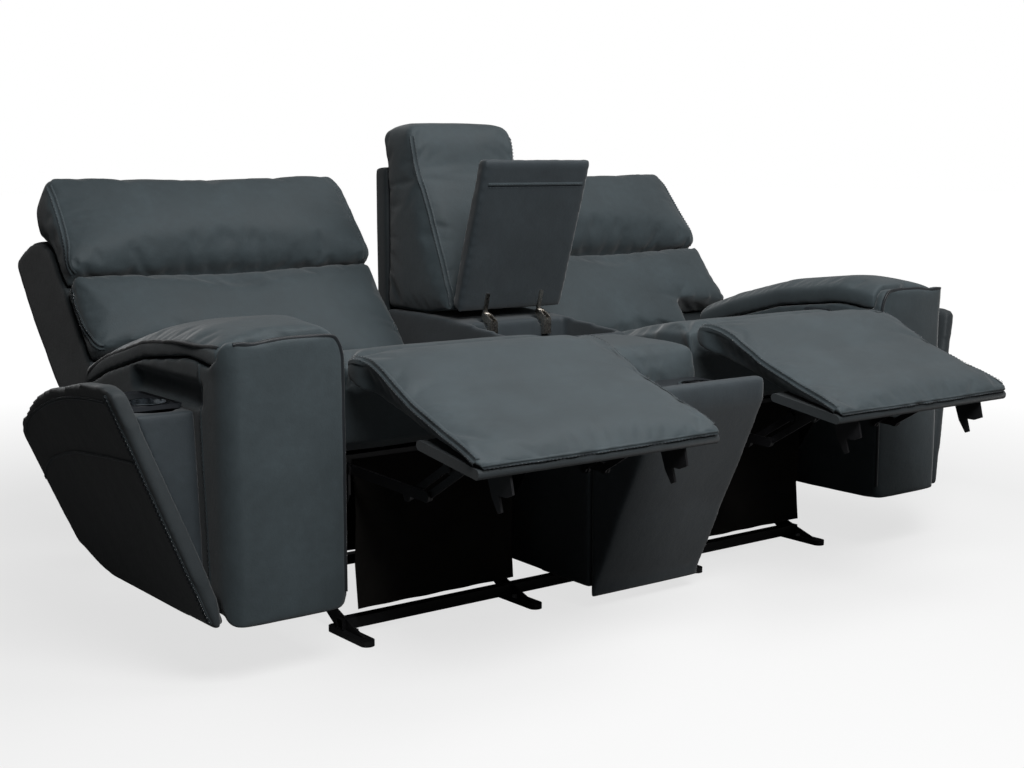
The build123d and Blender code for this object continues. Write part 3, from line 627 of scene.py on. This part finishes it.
def add_stitches(builder, line, normals, centre):
    """Short threads lying along a line, each dipping in at its ends."""
    steps = np.linalg.norm(np.diff(line, axis=0), axis=1)
    place = np.concatenate([[0], np.cumsum(steps)])
    near = KDTree(len(centre))
    for index, point in enumerate(centre):
        near.insert(Vector(point), index)
    near.balance()
    for start in np.arange(STITCH_LINE_STEP, place[-1] - STITCH_LENGTH, STITCH_PITCH):
        ends = [np.array([np.interp(start + s, place, line[:, k]) for k in range(3)])
                for s in (0, STITCH_LENGTH)]
        middle = (ends[0] + ends[1]) / 2
        along = (ends[1] - ends[0]) / np.linalg.norm(ends[1] - ends[0])
        up = normals[near.find(Vector(middle))[1]]
        side = np.cross(along, up)
        ring = []
        for position, size, lift in STITCH_SHAPE:
            base = ends[0] + position * (ends[1] - ends[0]) + lift * up
            ring.append([builder.verts.new(base + STITCH_RADIUS * size * (c * side + s * up))
                         for c, s in ((1, 0), (0, 1), (-1, 0), (0, -1))])
        for first, second in zip(ring[:-1], ring[1:]):
            for k in range(4):
                after = (k + 1) % 4
                face = builder.faces.new((first[k], first[after], second[after], second[k]))
                face.material_index = 1
                face.smooth = True
        for cap in (ring[0][::-1], ring[-1]):
            builder.faces.new(cap).material_index = 1


# Places on the leaned back, the open lid and the flared shell. Of each leaned plane: where it
# starts (y, z), and how far one metre along it runs and rises.
BACK_START = (0.230, 0.400)
BACK_RUN = 0.656
BACK_RISE = 0.755
LID_START = (0.086, 0.590)
LID_RUN = 0.309
LID_DROP = 0.951
SHELL_X = 1.020
SHELL_START_Z = 0.100
SHELL_FLARE = 0.346


def on_back(x, u, v):
    """A point of the leaned back: across, up along the back, out of its front."""
    return (x, BACK_START[0] + BACK_RUN * u - BACK_RISE * v,
            BACK_START[1] + BACK_RISE * u + BACK_RUN * v)


def on_lid(x, y, z):
    """A point of the open lid: across, from the free end to the hinge, out of its top."""
    return (x, LID_START[0] + LID_RUN * y + LID_DROP * z,
            LID_START[1] - LID_DROP * y + LID_RUN * z)


def on_shell(y, z):
    """A point of the flared shell's outer face."""
    return (SHELL_X + SHELL_FLARE * (z - SHELL_START_Z), y, z)


def up_back(points):
    """How far up along the leaned back each point is, and how far out of its front."""
    y, z = points[:, 1] - BACK_START[0], points[:, 2] - BACK_START[1]
    return BACK_RUN * y + BACK_RISE * z, BACK_RUN * z - BACK_RISE * y


def smooth_step(values, start, end):
    """0 before the start, 1 after the end, and an even curve between them."""
    t = np.clip((values - start) / (end - start), 0, 1)
    return t * t * (3 - 2 * t)


# Seam lines. On the back and the head: how far up and out at each point; on the others: (y, z).
BACK_SIDE = ((0.150, 0.046), (0.200, 0.026), (0.248, 0.016), (0.300, 0.014), (0.348, 0.018))
HEAD_SIDE = ((0.372, 0.030), (0.410, 0.046), (0.454, 0.053), (0.529, 0.063), (0.572, 0.065),
             (0.606, 0.058))
CHAISE_SIDE = ((-0.372, 0.592), (-0.419, 0.594), (-0.470, 0.578), (-0.505, 0.560),
               (-0.564, 0.529), (-0.620, 0.507), (-0.678, 0.487), (-0.740, 0.467),
               (-0.772, 0.455))
CONSOLE_SIDE = ((0.290, 1.010), (0.273, 0.952), (0.240, 0.880), (0.198, 0.788), (0.152, 0.690),
                (0.112, 0.612))
BACK_SEAM_X = {"outer": 0.936, "inner": 0.196}
CHAISE_SEAM_X = {"inner": 0.166, "outer": 0.734}
CONSOLE_SEAM_X = 0.150
HEAD_SPLIT = 0.360
BACK_OUT = (0, -BACK_RISE, BACK_RUN)
LID_OUT = (0, LID_DROP, LID_RUN)
UP = (0, 0, 1)
FRONT_UP = (0, -0.8, 0.6)


def back_line(x, side_line):
    return [on_back(x, u, v) for u, v in side_line]


def upright_line(x, side_line):
    return [(x, y, z) for y, z in side_line]


# The lines along which each cover is sewn, and so drawn in
SEWN = {
    "headrest": [back_line(x, HEAD_SIDE) for x in BACK_SEAM_X.values()],
    "back_cushion": [back_line(x, BACK_SIDE) for x in BACK_SEAM_X.values()],
    "chaise_pad": [upright_line(x, CHAISE_SIDE) for x in CHAISE_SEAM_X.values()],
    "console_back_cushion": [upright_line(x, CONSOLE_SIDE)
                             for x in (-CONSOLE_SEAM_X, CONSOLE_SEAM_X)],
}

# What each cushion is: roundness of its edges, how far it is drawn in before it is blown up,
# how far it may swell, how full it is, and the way its free face looks. A case has no filling:
# roundness, how far it is drawn in, and its material.
CUSHIONS = {
    "headrest": (8, 0.002, 0.014, 0.8, BACK_OUT),
    "back_cushion": (8, 0.002, 0.014, 0.75, BACK_OUT),
    "seat_cushion": (8, 0.003, 0.014, 0.8, UP),
    "chaise_pad": (4, 0.002, 0.014, 0.7, UP),
    "arm_pad": (4, 0.001, 0.007, 0.85, UP),
}
# The pod's case leather and the shells' leather are darker copies of the one leather: painted
# shade
CASES = {
    "arm_body": (5, 0.002, LEATHER),
    "arm_pod": (4, 0.001, LEATHER_CASE_PAINTED_SHADE),
    "outer_shell": (12, 0.001, LEATHER_SHELL_PAINTED_SHADE),
    "back_shell": (6, 0.002, LEATHER_SHELL_PAINTED_SHADE),
}
CONSOLE = {
    "console_back_cushion": (9, 0.0015, 0.012, 0.8, FRONT_UP),
    "console_front_pad": (6, 0.001, 0.006, 0.85, UP),
    "console_lid": (4, 0.0005, 0.004, 0.7, LID_OUT),
}
# The console box and prow take the darker case leather, whose darkness is painted shade
CONSOLE_CASES = {
    "console_box": (3, 0.0005, LEATHER_CASE_PAINTED_SHADE),
    "console_prow": (4, 0.001, LEATHER_CASE_PAINTED_SHADE),
    "console_back_shell": (5, 0.002, LEATHER_SHELL_PAINTED_SHADE),
}
COVER_SLACK = -0.012
SEAM_HOLD = 0.009
CREASE_HOLD = 0.010
CREASE_DEPTH = 0.030
RESTS_BELOW = -0.25
SIDE_ABOVE = 0.7


def seam_distance(kind, points, sign=1):
    """How far each point is from the nearest line along which its cover is sewn."""
    distance = np.full(len(points), 1.0)
    for path in SEWN.get(kind, ()):
        distance = np.minimum(distance, line_distance(points * (sign, 1, 1), path))
    return distance


def held_by(kind, out):
    """Which points don't swell: those against the board behind, and those on a seam."""
    def pins(points, normals):
        rests = normals @ np.array(out) < RESTS_BELOW
        held = rests | (seam_distance(kind, points) < SEAM_HOLD)
        if kind == "arm_pad":
            held |= np.abs(normals[:, 0]) > SIDE_ABOVE
        if kind in ("headrest", "back_cushion"):
            up, out_of = up_back(points)
            held |= (np.abs(up - HEAD_SPLIT) < CREASE_HOLD) & (out_of < CREASE_DEPTH)
        return held
    return pins


# How far the covers are drawn into the photograph's forms, in metres
SHELL_HEIGHTS = (0.124, 0.541)
SHELL_RAKE = (0.012, 0.096)
POD_HEIGHTS = (0.170, 0.500)
POD_FORWARD = (0.060, 0.034)
SLOT_DEPTH = 0.014
ARM_EDGE = (0.958, -0.360)
ARM_EDGE_RADIUS = 0.048
ARM_CORNER_OUT = 0.004
ARM_CORNER_UP = 0.014
PAD_SIDE = 1.003
PAD_KEEP = 0.2
CHAISE_UNDERCUT = 0.022
PROW_RISE = 0.008
HEAD_WIDENING = 0.011
CREASE_CLOSING = 0.011
CREASE_REACH = 0.045


def raked_shell(points):
    """The shell's front edge leans back towards its top."""
    points = points.copy()
    y, z = points[:, 1], points[:, 2]
    shift = np.interp(z, SHELL_HEIGHTS, SHELL_RAKE)
    points[:, 1] += shift * smooth_step(-y, 0.02, 0.390)
    return points


def fuller_pod(points):
    """The pod's face stands nearly flush with the shell's front edge."""
    points = points.copy()
    y, z = points[:, 1], points[:, 2]
    shift = np.interp(z, POD_HEIGHTS, POD_FORWARD)
    points[:, 1] -= shift * smooth_step(-y, 0.12, 0.262)
    return points


def slotted_arm(points):
    """A shadow slot runs along the arm's outer side between its roll and the tray."""
    points = points.copy()
    x, y, z = np.abs(points[:, 0]), points[:, 1], points[:, 2]
    depth = smooth_step(z, 0.508, 0.520) * (1 - smooth_step(z, 0.546, 0.560))
    depth *= smooth_step(-y, 0.000, 0.040) * (1 - smooth_step(-y, 0.300, 0.325))
    depth *= smooth_step(x, 0.960, 1.000)
    points[:, 0] -= np.sign(points[:, 0]) * SLOT_DEPTH * depth
    return points


def rounded_arm(points):
    """The front panel wraps round the arm's outer front edge, and its top corner stays full."""
    points = slotted_arm(points)
    side = np.sign(points[:, 0])
    x, y, z = np.abs(points[:, 0]), points[:, 1], points[:, 2]
    over = np.stack([np.maximum(x - ARM_EDGE[0], 0), np.maximum(ARM_EDGE[1] - y, 0)])
    reach = np.hypot(*over)
    scale = np.where((over.min(0) > 0) & (reach > ARM_EDGE_RADIUS),
                     ARM_EDGE_RADIUS / np.maximum(reach, 1e-6), 1.0)
    x = np.where(scale < 1, ARM_EDGE[0] + over[0] * scale, x)
    y = np.where(scale < 1, ARM_EDGE[1] - over[1] * scale, y)
    corner = smooth_step(x, 0.940, 0.995) * smooth_step(z, 0.560, 0.600)
    corner *= smooth_step(-y, 0.340, 0.370)
    return np.stack([side * (x + ARM_CORNER_OUT * corner), y, z + ARM_CORNER_UP * corner], axis=1)


def flush_pad(points):
    """The arm's padded top ends flush with the side below it."""
    points = points.copy()
    x = np.abs(points[:, 0])
    flush = np.where(x > PAD_SIDE, PAD_SIDE + PAD_KEEP * (x - PAD_SIDE), x)
    points[:, 0] = np.sign(points[:, 0]) * flush
    return points


def undercut_chaise(points):
    """The chaise's sides run in under its seams."""
    points = points.copy()
    off = points[:, 0] - SEAT_X
    seam = np.interp(-points[:, 1], [-y for y, _ in CHAISE_SIDE], [z for _, z in CHAISE_SIDE])
    below = smooth_step(seam - points[:, 2], 0.004, 0.050)
    beside = smooth_step(np.abs(off), 0.200, 0.280) * smooth_step(-points[:, 1], 0.390, 0.440)
    points[:, 0] -= np.sign(off) * CHAISE_UNDERCUT * below * beside
    return points


def high_prow(points):
    """The prow's padded top edge stands a little above the cup tray behind it."""
    points = points.copy()
    edge = smooth_step(points[:, 2], 0.465, 0.485) * smooth_step(-points[:, 1], 0.545, 0.565)
    points[:, 2] += PROW_RISE * edge
    return points


def wide_head(points):
    """The head bolster reaches towards the console, with a round corner."""
    points = closer_crease(points)
    points[:, 0] -= HEAD_WIDENING * smooth_step(-points[:, 0], -0.300, -0.190)
    return points


def closer_crease(points):
    """Head bolster and back cushion bulge towards each other over the crease between them."""
    up, out = up_back(points)
    near = np.exp(-((up - HEAD_SPLIT) / CREASE_REACH) ** 2) * smooth_step(out, 0.010, 0.045)
    step = CREASE_CLOSING * near * np.sign(HEAD_SPLIT - up)
    moved = points.copy()
    moved[:, 1] += BACK_RUN * step
    moved[:, 2] += BACK_RISE * step
    return moved


DRAWN = {"outer_shell": raked_shell, "arm_pod": fuller_pod, "arm_body": rounded_arm,
         "arm_pad": flush_pad, "chaise_pad": undercut_chaise, "headrest": wide_head,
         "back_cushion": closer_crease}

# The covers by node name, in the order in which each gets the seed of its unevenness
soft = {}
for kind, (rounding, inset, cap, fill, out) in CUSHIONS.items():
    piece = SoftPiece("right_" + kind, rounding, inset)
    piece.inflate(cap, held_by(kind, out), COVER_SLACK)
    soft["right_" + kind] = piece
for node, (rounding, inset, cap, fill, out) in CONSOLE.items():
    piece = SoftPiece(node, rounding, inset)
    piece.inflate(cap, held_by(node, out), COVER_SLACK)
    soft[node] = piece
for kind, (rounding, inset, material) in CASES.items():
    voxel = SHELL_VOXEL if kind == "outer_shell" else CASE_VOXEL
    soft["right_" + kind] = SoftPiece("right_" + kind, rounding, inset, voxel)
for node, (rounding, inset, material) in CONSOLE_CASES.items():
    soft[node] = SoftPiece(node, rounding, inset, CASE_VOXEL)
run_simulation()

for kind, pull in DRAWN.items():
    soft["right_" + kind].draw(pull)
soft["console_prow"].draw(high_prow)
for kind in (*CUSHIONS, *CASES):
    soft["left_" + kind] = soft["right_" + kind].mirrored()


# Unevenness of the covers: height and length of each wave, groove and pucker, in metres
WAVE = (0.0012, 0.18)
RIPPLE = (0.0004, 0.05)
GROOVE = (0.0022, 0.007)
PUCKER = (0.0011, 0.022)
PUCKER_FADE = 0.020
TAUT = 0.3


def unevenness(name, seed):
    """Slow waves of the stuffing, a groove at each seam and puckers that run out from it."""
    kind = name.replace("right_", "").replace("left_", "")
    sign = -1 if name.startswith("left_") else 1

    def change(points):
        distance = seam_distance(kind, points, sign)
        waves = WAVE[0] * undulation(points, WAVE[1], seed)
        waves += RIPPLE[0] * undulation(points, RIPPLE[1], seed + 40)
        if kind == "arm_pad":
            waves *= TAUT
        groove = -GROOVE[0] * np.exp(-(distance / GROOVE[1]) ** 2)
        puckers = PUCKER[0] * np.exp(-distance / PUCKER_FADE)
        return waves + groove + puckers * undulation(points, PUCKER[1], seed + 80)
    return change


for seed, (name, piece) in enumerate(soft.items(), 1):
    piece.shape(unevenness(name, seed))


def give_under_head(obj):
    """Gives the object its own copy of its mesh."""
    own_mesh(obj)


for side in SIDES:
    for kind, (rounding, inset, cap, fill, out) in CUSHIONS.items():
        soft[f"{side}_{kind}"].finish(LEATHER, fill)
    give_under_head(soft[f"{side}_back_cushion"].obj)
    for kind, (rounding, inset, material) in CASES.items():
        soft[f"{side}_{kind}"].finish(material)
for node, (rounding, inset, cap, fill, out) in CONSOLE.items():
    # The lid takes the darker case leather: painted shade on its face that leans down to the front
    soft[node].finish(LEATHER_CASE_PAINTED_SHADE if node == "console_lid" else LEATHER, fill)
for node, (rounding, inset, material) in CONSOLE_CASES.items():
    soft[node].finish(material)


# The footrest's leather-covered board and its painted brackets: the board's underside at its
# rear and at its tip, as (y, z)
BOARD_REAR = (-0.600, 0.446)
BOARD_TIP = (-0.774, 0.421)
BOARD_MARGIN = 0.001
BOARD_BEVEL = 0.0012


def below_board(point):
    slope = (BOARD_REAR[1] - BOARD_TIP[1]) / (BOARD_REAR[0] - BOARD_TIP[0])
    return point.z < BOARD_REAR[1] + slope * (point.y - BOARD_REAR[0]) - BOARD_MARGIN


def dress_board(side):
    node = f"{side}_footrest_board"
    mesh = nodes[node].data.copy()
    mesh.materials.clear()
    # The board takes the darker shell leather: painted shade under the chaise pad's rolled edge
    mesh.materials.append(LEATHER_SHELL_PAINTED_SHADE)
    mesh.materials.append(BLACK_PAINT)
    for face in mesh.polygons:
        face.material_index = 1 if below_board(face.center) else 0
    builder = bmesh.new()
    builder.from_mesh(mesh)
    bmesh.ops.remove_doubles(builder, verts=builder.verts, dist=1e-6)
    builder.to_mesh(mesh)
    builder.free()
    obj = new_object(node + "_dressed", mesh)
    bevel = obj.modifiers.new("bevel", "BEVEL")
    bevel.width, bevel.segments, bevel.limit_method = BOARD_BEVEL, 2, "ANGLE"
    made_real(obj)
    dress(obj, node)


for side in SIDES:
    dress_board(side)


# Dust curtains, hung under the front and the rear of each seat; their black cloth is darkened
# further as painted shade under the seats
CURTAIN_WIDTH = 0.394
CURTAIN_TOP = 0.362
CURTAIN_BOTTOM = 0.058
CURTAIN_COLUMNS = 66
CURTAIN_ROWS = 50
CURTAIN_FOLD = 0.0016
CURTAIN_WAVE = 0.0022
# How each cloth hangs, seen from the side: (z, y)
CURTAIN_LINE = {
    "front": ((0.056, -0.2505), (0.150, -0.2415), (0.250, -0.2485), (0.340, -0.2400),
              (0.364, -0.2375)),
    "rear": ((0.056, 0.1600), (0.150, 0.1560), (0.250, 0.1610), (0.340, 0.1540),
             (0.364, 0.1500)),
}


def add_curtain(side, sign, end):
    """A cloth that hangs from the seat frame, with folds that deepen towards its hem."""
    columns, rows = CURTAIN_COLUMNS, CURTAIN_ROWS
    heights, depths = zip(*CURTAIN_LINE[end])
    vertices, faces = [], []
    for row in range(rows + 1):
        drop = row / rows
        z = CURTAIN_TOP + (CURTAIN_BOTTOM - CURTAIN_TOP) * drop
        for column in range(columns + 1):
            x = (column / columns - 0.5) * CURTAIN_WIDTH
            fold = sin(2 * pi * (4.3 * column / columns + 0.15 * drop + 0.2 * sign))
            wave = noise.noise(Vector((9 * x, 7 * z, 3.0 * sign)))
            ripple = (CURTAIN_FOLD * fold + CURTAIN_WAVE * wave) * (0.2 + 0.8 * drop)
            vertices.append((sign * SEAT_X + x, np.interp(z, heights, depths) + ripple, z))
    for row in range(rows):
        for column in range(columns):
            a = row * (columns + 1) + column
            faces.append((a, a + 1, a + columns + 2, a + columns + 1))
    name = f"{side}_{end}_dust_curtain"
    mesh = bpy.data.meshes.new(name)
    mesh.from_pydata(vertices, [], faces)
    # Black cloth darkened further: partly painted shade under the seat
    mesh.materials.append(DUST_CLOTH_AND_PAINTED_SHADE)
    mesh.polygons.foreach_set("use_smooth", [True] * len(mesh.polygons))
    curtain = new_object(name, mesh)
    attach(curtain, body_of("dust_curtains"))
    if end == "front":
        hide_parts("dust_curtains")


for side, sign in SIDES.items():
    for end in CURTAIN_LINE:
        add_curtain(side, sign, end)


# Seams. Rows of stitches: how far beside the line, and how far out of the cover.
DOUBLE_ROWS = ((-0.0052, 0.0020), (0.0052, 0.0020))
NARROW_ROWS = ((0.0030, 0.0012),)
LAPPED_ROWS = ((-0.004, 0.0012),)
LID_ROWS = ((-0.004, 0.0012), (0.004, 0.0))
# The lines: (x, z) on the arm's face, x along the chaise's tip and the lid's, else (y, z)
CHAISE_TIP = (-0.786, 0.443)
CHAISE_TIP_X = (0.175, 0.26, 0.35, 0.45, 0.55, 0.64, 0.725)
LID_TIP = (-0.316, 0.008)
LID_TIP_X = (-0.138, -0.07, 0, 0.07, 0.138)
ARM_ROLL_X = 1.004
ARM_SIDE_X = 1.008
ARM_FACE_Y = -0.4065
ARM_FACE = ((0.7575, 0.150), (0.7575, 0.300), (0.7575, 0.450), (0.7575, 0.570), (0.762, 0.606),
            (0.778, 0.634), (0.806, 0.648), (0.860, 0.650), (0.920, 0.646), (0.960, 0.641),
            (0.985, 0.636))
ARM_ROLL = ((-0.372, 0.634), (-0.340, 0.630), (-0.300, 0.622), (-0.265, 0.622), (-0.160, 0.620),
            (-0.060, 0.610), (0.030, 0.590), (0.120, 0.568), (0.170, 0.546), (0.210, 0.520))
ARM_SIDE_SEAM = ((-0.312, 0.600), (-0.318, 0.450), (-0.328, 0.300), (-0.338, 0.130))
SHELL_CURVE = ((0.267, 0.297), (0.215, 0.335), (0.160, 0.360), (0.096, 0.378), (0.040, 0.392),
               (-0.007, 0.401), (-0.080, 0.409), (-0.170, 0.417), (-0.250, 0.423),
               (-0.297, 0.426))
SHELL_TOP = ((0.262, 0.388), (0.238, 0.412), (0.200, 0.434), (0.146, 0.456), (0.060, 0.484),
             (-0.069, 0.513), (-0.190, 0.526), (-0.268, 0.530))
SHELL_FRONT = ((-0.284, 0.546), (-0.306, 0.450), (-0.326, 0.350), (-0.346, 0.250),
               (-0.370, 0.128))


def sew(node, title, path, profile, side=1, rows=(), material=LEATHER):
    """A seam on a cover, along a path given for the right seat and mirrored for the left."""
    placed = [(side * x, y, z) for x, y, z in path]
    if side < 0:
        placed = placed[::-1]
    return sewn_seam(title, soft[node].obj, placed, profile, body_of(node), material, rows)


def add_seams():
    for name, sign in SIDES.items():
        for edge, x in BACK_SEAM_X.items():
            seam = sew(f"{name}_back_cushion", f"{name}_back_seam_{edge}", back_line(x, BACK_SIDE),
                       SEAM_DOUBLE, sign, DOUBLE_ROWS)
            give_under_head(seam)
            sew(f"{name}_headrest", f"{name}_head_seam_{edge}", back_line(x, HEAD_SIDE),
                SEAM_DOUBLE, sign, DOUBLE_ROWS)
        for edge, x in CHAISE_SEAM_X.items():
            sew(f"{name}_chaise_pad", f"{name}_chaise_seam_{edge}", upright_line(x, CHAISE_SIDE),
                SEAM_DOUBLE, sign, DOUBLE_ROWS)
        sew(f"{name}_chaise_pad", f"{name}_chaise_seam_tip",
            [(x, *CHAISE_TIP) for x in CHAISE_TIP_X], SEAM_NARROW, sign, NARROW_ROWS)
        sew(f"{name}_arm_body", f"{name}_arm_face_welt", [(x, ARM_FACE_Y, z) for x, z in ARM_FACE],
            SEAM_WELT, sign, material=PIPING)
        sew(f"{name}_arm_pad", f"{name}_arm_roll_welt", upright_line(ARM_ROLL_X, ARM_ROLL),
            SEAM_WELT, sign, material=PIPING)
        sew(f"{name}_arm_body", f"{name}_arm_side_seam", upright_line(ARM_SIDE_X, ARM_SIDE_SEAM),
            SEAM_LAPPED, sign, LAPPED_ROWS)
        for title, line, profile, rows in (("front_seam", SHELL_FRONT, SEAM_DOUBLE, DOUBLE_ROWS),
                                           ("curve", SHELL_CURVE, SEAM_LAPPED, LAPPED_ROWS),
                                           ("top_seam", SHELL_TOP, SEAM_NARROW, NARROW_ROWS)):
            sew(f"{name}_outer_shell", f"{name}_shell_{title}", [on_shell(y, z) for y, z in line],
                profile, sign, rows)
        sew("console_back_cushion", f"{name}_console_back_seam",
            upright_line(CONSOLE_SEAM_X, CONSOLE_SIDE), SEAM_DOUBLE, sign, DOUBLE_ROWS)
    sew("console_lid", "lid_stitching", [on_lid(x, *LID_TIP) for x in LID_TIP_X],
        SEAM_LAPPED, 1, LID_ROWS)


add_seams()
dress_cad_nodes()
add_setting()
add_camera()
bpy.context.scene.view_settings.view_transform = "Standard"
